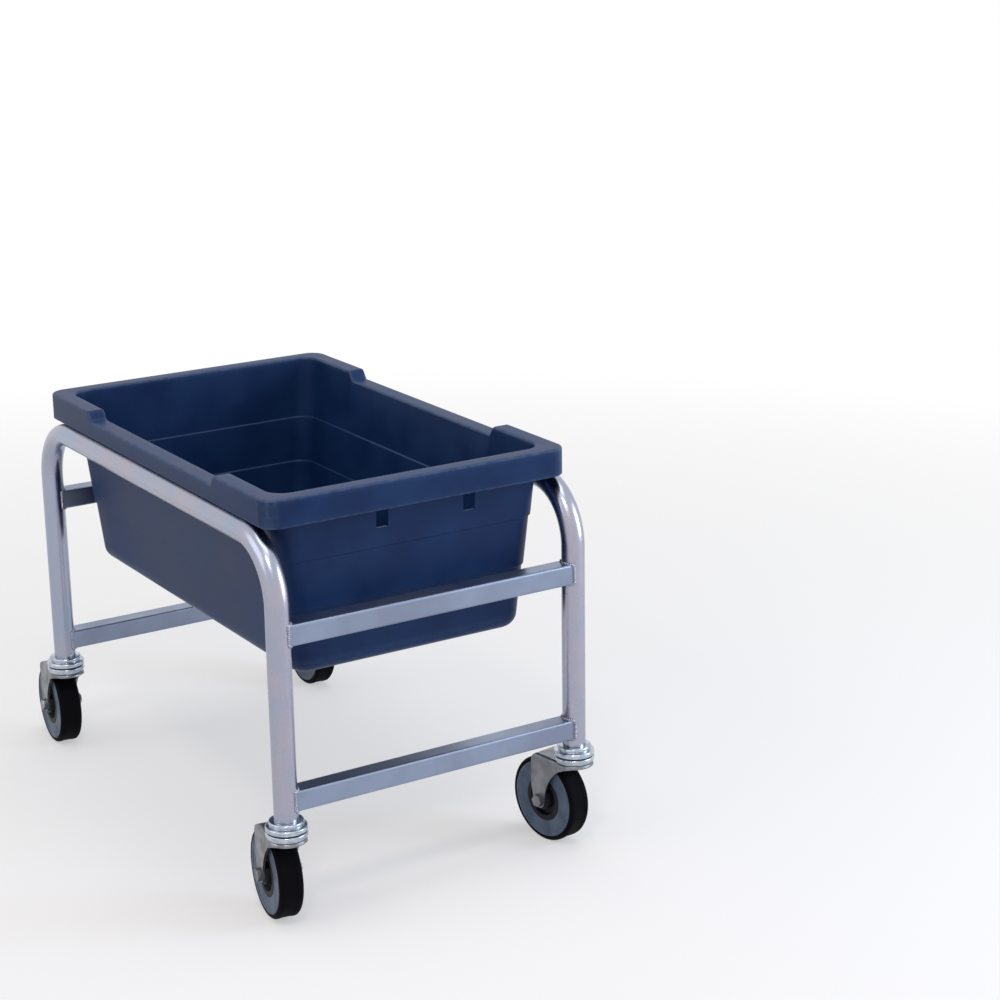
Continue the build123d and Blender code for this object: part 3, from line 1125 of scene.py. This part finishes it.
@dataclass
class SwivelCastor:
    """One castor below its leg: the lower race and pressed fork that swivel, and the wheel on its axle."""

    plan: CartPlan
    corner: str
    segments: int = 80
    sheet: float = 3.0
    crown_bend: float = 5.0
    crown_radius: float = 24.0
    half_width: float = 21.0
    throat_reach: float = 16.0
    front_skirt: float = 5.0
    rear_reach: float = 57.0
    shoulder: float = 12.0
    rear_edge: float = 43.0
    boss_radius: float = 10.0
    fork_edge: float = 0.6
    # How far the fork's rough form goes past its outline, and how far its cutting tools reach
    spare: float = 4.0
    tool_reach: float = 30.0
    axle_bore: float = 4.83
    pin_bore: float = 4.95
    race_bore: float = 4.95
    tyre_half: float = 15.0
    tyre_shoulder: float = 3.0
    tread_line: float = 8.0
    face: float = 14.8
    ring_width: float = 4.0
    dish: float = 0.9
    recess_radius: float = 23.0
    # How far the painted shade of the hub piece reaches over the dished face
    painted_shade_radius: float = 28.5
    web_half: float = 7.0
    hub_radius: float = 13.0
    hub_half: float = 17.5
    hub_bore: float = 7.11
    crown_steps: int = 40
    bend_steps: int = 6

    def build(self) -> None:
        """Build the castor's pieces, and dress the axle's nodes."""
        self.lower_race()
        self.fork()
        self.tyre()
        self.core()
        dress_node(f"axle_bolt_{self.corner}", PRESSED_ZINC, 0.5)
        dress_node(f"axle_nut_{self.corner}", PRESSED_ZINC, 0.5)
        dress_node(f"axle_sleeve_{self.corner}", DARK_STEEL, 0.3)

    def turned(
        self, name: str, finish: Finish, body: str, slot: str, outline: Sequence[Corner], place: Matrix
    ) -> bpy.types.Object:
        """Turn one of the castor's round pieces.

        Args:
            name: Name of the piece, before the castor's corner.
            finish: Its surface finish.
            body: The body that it rides on, before the castor's corner.
            slot: Its material slot in the record.
            outline: Its closed outline of radius, height and corner radius.
            place: Takes the lathe's frame to the part's.

        Returns:
            The new object.
        """
        draft = Draft()
        draft.add_lathe(round_outline(outline), place, self.segments)
        return draft.make(f"{name}_{self.corner}", finish, f"{body}_{self.corner}", slot)

    def lower_race(self) -> None:
        """Turn the lower race with a rolled edge and a lip over the fork's crown."""
        node = f"lower_race_{self.corner}"
        low, high = self.plan.node(node)
        radius = (high.x - low.x) / 2
        outline = [
            (self.race_bore, low.z, 0.0),
            (radius - 1.6, low.z, 0.8),
            (radius - 1.2, low.z + 2.0, 0.5),
            (radius, low.z + 2.6, 0.8),
            (radius, high.z, 1.6),
            (self.race_bore, high.z, 0.0),
        ]
        place = self.plan.castor(self.corner)
        piece = self.turned("turned_lower_race", BRIGHT_ZINC, "castor", "castor_race", outline, place)
        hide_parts(node)

    def crown_plan(self, inset: float, rear: float) -> list[Point]:
        """Outline of the fork from above: a round front that runs into two straight cheeks.

        Args:
            inset: How far it lies inside the fork's outer face.
            rear: How far it reaches towards the wheel.

        Returns:
            The outline's points in order.
        """
        radius = self.crown_radius - inset
        half = self.half_width - inset
        start = math.degrees(math.asin(half / radius))
        return [*arc((0.0, 0.0), radius, start, 360 - start, self.crown_steps), (rear, -half), (rear, half)]

    def crown_stack(self, inset: float, low: float, top: float, bend: float, rear: float) -> Draft:
        """Closed form under a crown that bends round into its cheeks.

        Args:
            inset: How far its outline lies inside the fork's.
            low: Level of its open lower end.
            top: Level of the crown.
            bend: Radius of the bend between crown and cheeks.
            rear: How far it reaches towards the wheel.

        Returns:
            The form, as a draft.
        """
        place = self.plan.castor(self.corner)
        levels = [(inset, low)]
        levels += [(inset + bend * inward, top - bend * below) for inward, below, _ in quarter_round(self.bend_steps)]
        draft = Draft()
        draft.add_rings(
            [[place @ Vector((x, y, z)) for x, y in self.crown_plan(edge, rear)] for edge, z in levels], capped=True
        )
        return draft

    def cheek_outline(self, crown: float, trail: float, axle: float) -> list[Point]:
        """Outline of the fork from the side.

        Args:
            crown: Level of the crown.
            trail: Distance of the axle from the swivel's axis.
            axle: Height of the axle.

        Returns:
            The outline's points in order, as distance from the swivel's axis and height.
        """
        skirt = crown - self.front_skirt
        over = crown + 3.0
        front = -self.crown_radius - 6.0
        # The curve over the wheel leaves the boss upright and ends at the throat
        reach = trail - self.boss_radius + self.throat_reach
        sweep = (reach**2 + (skirt - axle) ** 2) / (2 * reach)
        centre = (trail - self.boss_radius - sweep, axle)
        throat = math.degrees(math.atan2(skirt - axle, -self.throat_reach - centre[0]))
        shoulder = (self.rear_reach - self.shoulder, crown - self.shoulder)
        return [
            (front, skirt),
            (front, over),
            (shoulder[0], over),
            *arc(shoulder, self.shoulder, 85, 0, 8),
            (self.rear_reach, crown - self.rear_edge),
            *arc((trail, axle), self.boss_radius, 0, -180, 16),
            *arc(centre, sweep, 4, throat, 18),
        ]

    def fork(self) -> None:
        """Bend the fork's sheet over its crown, then trim its cheeks to their outline."""
        node = f"fork_{self.corner}"
        low, high = self.plan.node(node)
        place = self.plan.castor(self.corner)
        wheel = self.plan.wheel(self.corner)
        trail = (wheel.translation - place.translation).xy.length
        side = self.cheek_outline(high.z, trail, wheel.translation.z)
        spare, reach = self.spare, self.tool_reach
        solid = self.crown_stack(0.0, low.z - spare, high.z, self.crown_bend, self.rear_reach + spare)
        piece = solid.make(f"pressed_fork_{self.corner}", PRESSED_ZINC, f"castor_{self.corner}", "castor_fork")
        bend = self.crown_bend - self.sheet
        hollow = self.crown_stack(
            self.sheet, low.z - 2 * spare, high.z - self.sheet, bend, self.rear_reach + 3 * spare
        )
        hollow.carve(piece, Cut.OUTSIDE)
        trim = Draft()
        trim.add_prism(side[::-1], place @ Matrix.Rotation(math.pi / 2, 4, "X"), -reach, reach)
        trim.carve(piece, Cut.INSIDE)
        for bore, frame, start, end in (
            (self.axle_bore, wheel, -reach, reach),
            (self.pin_bore, place, high.z - 10.0, high.z + 10.0),
        ):
            drill = Draft()
            drill.add_prism(arc((0.0, 0.0), bore, 0, 350, 35), frame, start, end)
            drill.carve(piece, Cut.OUTSIDE)
        soften(piece, self.fork_edge)
        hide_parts(node)

    def tyre(self) -> None:
        """Turn the tyre with round shoulders and a moulding line at each."""
        node = f"tyre_{self.corner}"
        low, high = self.plan.node(node)
        radius = (high.z - low.z) / 2
        core = self.core_radius()
        half, shoulder, line = self.tyre_half, self.tyre_shoulder, self.tyre_half - self.tread_line
        side = [
            (radius - 0.5, line - 0.5, 0.1),
            (radius, line, 0.2),
            (radius, half - shoulder, shoulder * 0.8),
            (radius - shoulder, half, shoulder * 0.8),
            (core + 0.8, half, 0.6),
            (core, half - 1.0, 0.0),
        ]
        place = self.plan.wheel(self.corner)
        piece = self.turned("rubber_tyre", RUBBER, "wheel", "tyre", both_faces(side), place)
        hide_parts(node)

    def core_radius(self) -> float:
        """Radius of the core, where the tyre sits on it."""
        low, high = self.plan.node(f"wheel_core_{self.corner}")
        return (high.z - low.z) / 2

    def core(self) -> None:
        """Turn the core with its dished face, and a near black hub piece that lines its deep recess as painted shade.
        """
        core = self.core_radius()
        dished = self.face - self.dish
        side = [
            (self.hub_radius - 1.0, self.web_half, 0.0),
            (self.recess_radius - 1.5, self.web_half, 1.5),
            (self.recess_radius, dished, 1.2),
            (core - self.ring_width - 1.0, dished, 0.8),
            (core - self.ring_width, self.face, 0.8),
            (core, self.face, 0.6),
        ]
        # Near black hub piece: painted shade over the deep recess and the inner edge of the dished face
        hub = [
            (self.hub_bore, self.hub_half, 0.4),
            (self.hub_radius, self.hub_half, 1.0),
            (self.hub_radius + 0.6, self.web_half + 0.6, 0.6),
            (self.recess_radius - 2.6, self.web_half + 0.6, 1.5),
            (self.recess_radius - 1.0, dished + 0.3, 0.5),
            (self.painted_shade_radius, dished + 0.3, 0.3),
            (self.painted_shade_radius, dished - 0.5, 0.0),
        ]
        place = self.plan.wheel(self.corner)
        for name, finish, outline in (("moulded_core", CORE_PLASTIC, side), ("painted_shade_hub", PAINTED_SHADE_HUB, hub)):
            piece = self.turned(name, finish, "wheel", "wheel_core", both_faces(outline), place)
            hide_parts(f"wheel_core_{self.corner}")


@dataclass
class CastorHeads:
    """What stays with the four legs: stem sockets, upper races, ball rings and kingpins."""

    plan: CartPlan
    segments: int = 80
    stem_radius: float = 6.4
    tube_radius: float = 14.3
    tube_bore_radius: float = 12.55
    pin_radius: float = 4.75
    flange_radius: float = 21.0
    flange_height: float = 5.0
    race_radius: float = 25.0
    track: Point = (15.5, 20.5)
    track_depth: float = 1.7

    def build(self) -> None:
        """Build the sockets and races, and dress the pins and ball rings."""
        self.sockets()
        self.upper_races()
        dress_node("kingpins", DARK_STEEL, 0.5)
        dress_node("ball_rings", DARK_STEEL, 0.3)

    def sockets(self) -> None:
        """Turn the flanged sockets that close the legs' lower ends."""
        low, high = self.plan.node("stem_sockets")
        leg_end = self.plan.node("right_side_frame")[0].z
        outline = [
            (self.stem_radius, low.z, 0.0),
            (self.tube_radius, low.z, 0.7),
            (self.tube_radius, leg_end, 0.0),
            (self.tube_bore_radius, leg_end, 0.0),
            (self.tube_bore_radius, high.z, 0.8),
            (self.stem_radius, high.z, 0.0),
        ]
        self.turn("turned_stem_sockets", "stem_sockets", outline, "stem_socket")

    def upper_races(self) -> None:
        """Turn the top plate and upper race, stacked with a groove between them."""
        low, high = self.plan.node("upper_races")
        inner, outer = self.track
        step = high.z - self.flange_height
        outline = [
            (self.pin_radius, low.z, 0.0),
            (inner, low.z, 0.0),
            (inner, low.z + self.track_depth, 0.0),
            (outer, low.z + self.track_depth, 0.0),
            (outer, low.z, 0.3),
            (self.race_radius, low.z, 1.2),
            (self.race_radius, step - 1.2, 1.4),
            (self.flange_radius - 1.0, step - 0.6, 0.5),
            (self.flange_radius - 1.0, step + 0.6, 0.4),
            (self.flange_radius, step + 1.2, 0.6),
            (self.flange_radius, high.z, 1.5),
            (self.pin_radius, high.z, 0.0),
        ]
        self.turn("turned_upper_races", "upper_races", outline, "castor_race")

    def turn(self, name: str, node: str, outline: Sequence[Corner], slot: str) -> None:
        """Turn the same outline at all four legs, as one piece in place of a node.

        Args:
            name: Name of the piece.
            node: The node that it replaces.
            outline: Closed outline of radius, height and corner radius.
            slot: Its material slot in the record.
        """
        draft = Draft()
        for corner in CORNERS:
            draft.add_lathe(round_outline(outline), self.plan.castor(corner), self.segments)
        piece = draft.make(name, BRIGHT_ZINC, "root", slot)
        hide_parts(node)


@dataclass(frozen=True)
class Lamp:
    """A soft rectangular lamp, by its direction in degrees, its distance and size in metres, and its watts."""

    name: str
    azimuth: float
    elevation: float
    distance: float
    width: float
    height: float
    power: float
    colour: str

    def hang(self, aim: Vector) -> None:
        """Hang the lamp in its direction, facing what it lights.

        Args:
            aim: The point that it lights, in metres.
        """
        azimuth, elevation = math.radians(self.azimuth), math.radians(self.elevation)
        away = Vector(
            (math.cos(azimuth) * math.cos(elevation), math.sin(azimuth) * math.cos(elevation), math.sin(elevation))
        )
        data = bpy.data.lights.new(self.name, "AREA")
        data.shape = "RECTANGLE"
        data.size = self.width
        data.size_y = self.height
        data.energy = self.power
        data.color = linear(self.colour)[:3]
        lamp = bpy.data.objects.new(self.name, data)
        lamp.location = aim + away * self.distance
        lamp.rotation_mode = "QUATERNION"
        lamp.rotation_quaternion = (-away).to_track_quat("-Z", "Y")
        bpy.context.scene.collection.objects.link(lamp)


@dataclass
class Studio:
    """Pale floor, soft lamps and the camera at the photograph's angle."""

    plan: CartPlan
    azimuth: float = 57.814
    elevation: float = 16.513
    roll: float = -0.888
    distance: float = 3336.7
    focal_pixels: float = 2330.3
    image_pixels: float = 1000.0
    sensor: float = 36.0
    aim_from_middle: Corner = (-156.4, 403.3, 300.0)
    lamp_aim_height: float = 0.3
    floor_radius: float = 4.0
    floor_sides: int = 96
    floor_fade: Point = (0.7, 2.4)
    floor_white: float = 0.45
    sky_light: float = 0.45

    def build(self) -> None:
        """Set up the camera, lamps, floor and world."""
        self.camera()
        self.lamps()
        self.floor()
        self.world()
        bpy.context.scene.view_settings.view_transform = "Standard"

    def camera(self) -> None:
        """Place the camera that was fitted to the photograph."""
        azimuth, elevation, roll = (math.radians(a) for a in (self.azimuth, self.elevation, self.roll))
        back = Vector(
            (math.sin(azimuth) * math.cos(elevation), -math.cos(azimuth) * math.cos(elevation), math.sin(elevation))
        )
        level = (-back).cross(Vector((0, 0, 1))).normalized()
        upright = level.cross(-back)
        right = level * math.cos(roll) + upright * math.sin(roll)
        up = upright * math.cos(roll) - level * math.sin(roll)
        aim = Vector(self.aim_from_middle) + Vector((self.plan.middle, 0, 0))
        data = bpy.data.cameras.new("photograph_view")
        data.sensor_width = self.sensor
        data.lens = self.focal_pixels * self.sensor / self.image_pixels
        camera = bpy.data.objects.new("photograph_view", data)
        turn = Matrix((right, up, back)).transposed().to_4x4()
        camera.matrix_world = Matrix.Translation((aim + back * self.distance) * MM) @ turn
        bpy.context.scene.collection.objects.link(camera)
        bpy.context.scene.camera = camera

    def lamps(self) -> None:
        """Hang every lamp round the cart."""
        aim = Vector((self.plan.middle * MM, 0, self.lamp_aim_height))
        for lamp in (
            Lamp("front_window", 48.0, 16.0, 2.6, 0.9, 1.4, 30.0, "#DCEBFF"),
            Lamp("behind_camera", -30.0, 50.0, 2.8, 0.35, 0.35, 14.0, "#FFEDE8"),
            Lamp("near_side", -98.0, 34.0, 3.1, 2.4, 1.8, 16.0, "#FFF0EA"),
            Lamp("overhead", 40.0, 84.0, 2.9, 1.8, 1.8, 26.0, WHITE),
        ):
            lamp.hang(aim)

    def shown_share(self, tree: Tree) -> Socket:
        """Tell what is shown from what lights the cart.

        Args:
            tree: Node tree that asks.

        Returns:
            One for what the camera, reflections and glass show, and zero for what lights the cart.
        """
        ray = add_node(tree, "ShaderNodeLightPath").outputs
        share = ray["Is Camera Ray"]
        for other in ("Is Transmission Ray", "Is Glossy Ray"):
            share = add_node(tree, "ShaderNodeMath", {0: share, 1: ray[other]}, operation="MAXIMUM").outputs[0]
        return share

    def floor(self) -> None:
        """Lay a pale round floor that keeps the shadow and fades into the white of the world."""
        mesh = bpy.data.meshes.new("floor")
        outline = arc((0.0, 0.0), self.floor_radius, 0, 360, self.floor_sides)[:-1]
        mesh.from_pydata([(x, y, 0.0) for x, y in outline], [], [tuple(range(len(outline)))])
        paint = bpy.data.materials.new("pale_floor")
        paint.use_nodes = True
        tree = paint.node_tree
        tree.nodes.clear()
        place = add_node(tree, "ShaderNodeTexCoord").outputs["Object"]
        away = add_node(tree, "ShaderNodeVectorMath", {0: place}, operation="LENGTH").outputs["Value"]
        near, far = self.floor_fade
        fade = add_node(tree, "ShaderNodeMapRange", {0: away, 1: near, 2: far, 3: 0.0, 4: 1.0})
        pale = add_node(tree, "ShaderNodeBsdfDiffuse", {"Color": linear("#EDEDEF")})
        white = add_node(tree, "ShaderNodeEmission", {"Color": linear(WHITE), "Strength": 1.0})
        share = add_node(tree, "ShaderNodeMapRange", {0: self.shown_share(tree), 3: 0.0, 4: self.floor_white})
        surface = pale
        for factor, shader in ((share, white), (fade, add_node(tree, "ShaderNodeBsdfTransparent"))):
            mixed = {0: factor.outputs[0], 1: surface.outputs[0], 2: shader.outputs[0]}
            surface = add_node(tree, "ShaderNodeMixShader", mixed)
        add_node(tree, "ShaderNodeOutputMaterial", {"Surface": surface.outputs[0]})
        mesh.materials.append(paint)
        floor = bpy.data.objects.new("floor", mesh)
        bpy.context.scene.collection.objects.link(floor)

    def world(self) -> None:
        """Show white to the camera and to reflections, and light the cart more softly."""
        world = bpy.data.worlds.new("studio")
        bpy.context.scene.world = world
        world.use_nodes = True
        tree = world.node_tree
        tree.nodes.clear()
        strength = add_node(tree, "ShaderNodeMapRange", {0: self.shown_share(tree), 3: self.sky_light, 4: 1.0})
        sky = add_node(tree, "ShaderNodeBackground", {"Color": linear(WHITE), "Strength": strength.outputs[0]})
        add_node(tree, "ShaderNodeOutputWorld", {"Surface": sky.outputs[0]})


def main() -> None:
    """Load the frame, and build and dress each sub-assembly."""
    logging.basicConfig(level=logging.INFO, format="%(name)s %(message)s")
    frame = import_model()
    plan = CartPlan({joint["name"]: joint for joint in frame["joints"]})
    Studio(plan).build()
    TubeFrame(plan).build()
    MouldedLug(plan).build()
    CastorHeads(plan).build()
    for corner in CORNERS:
        SwivelCastor(plan, corner).build()


if __name__ == "__main__":
    main()
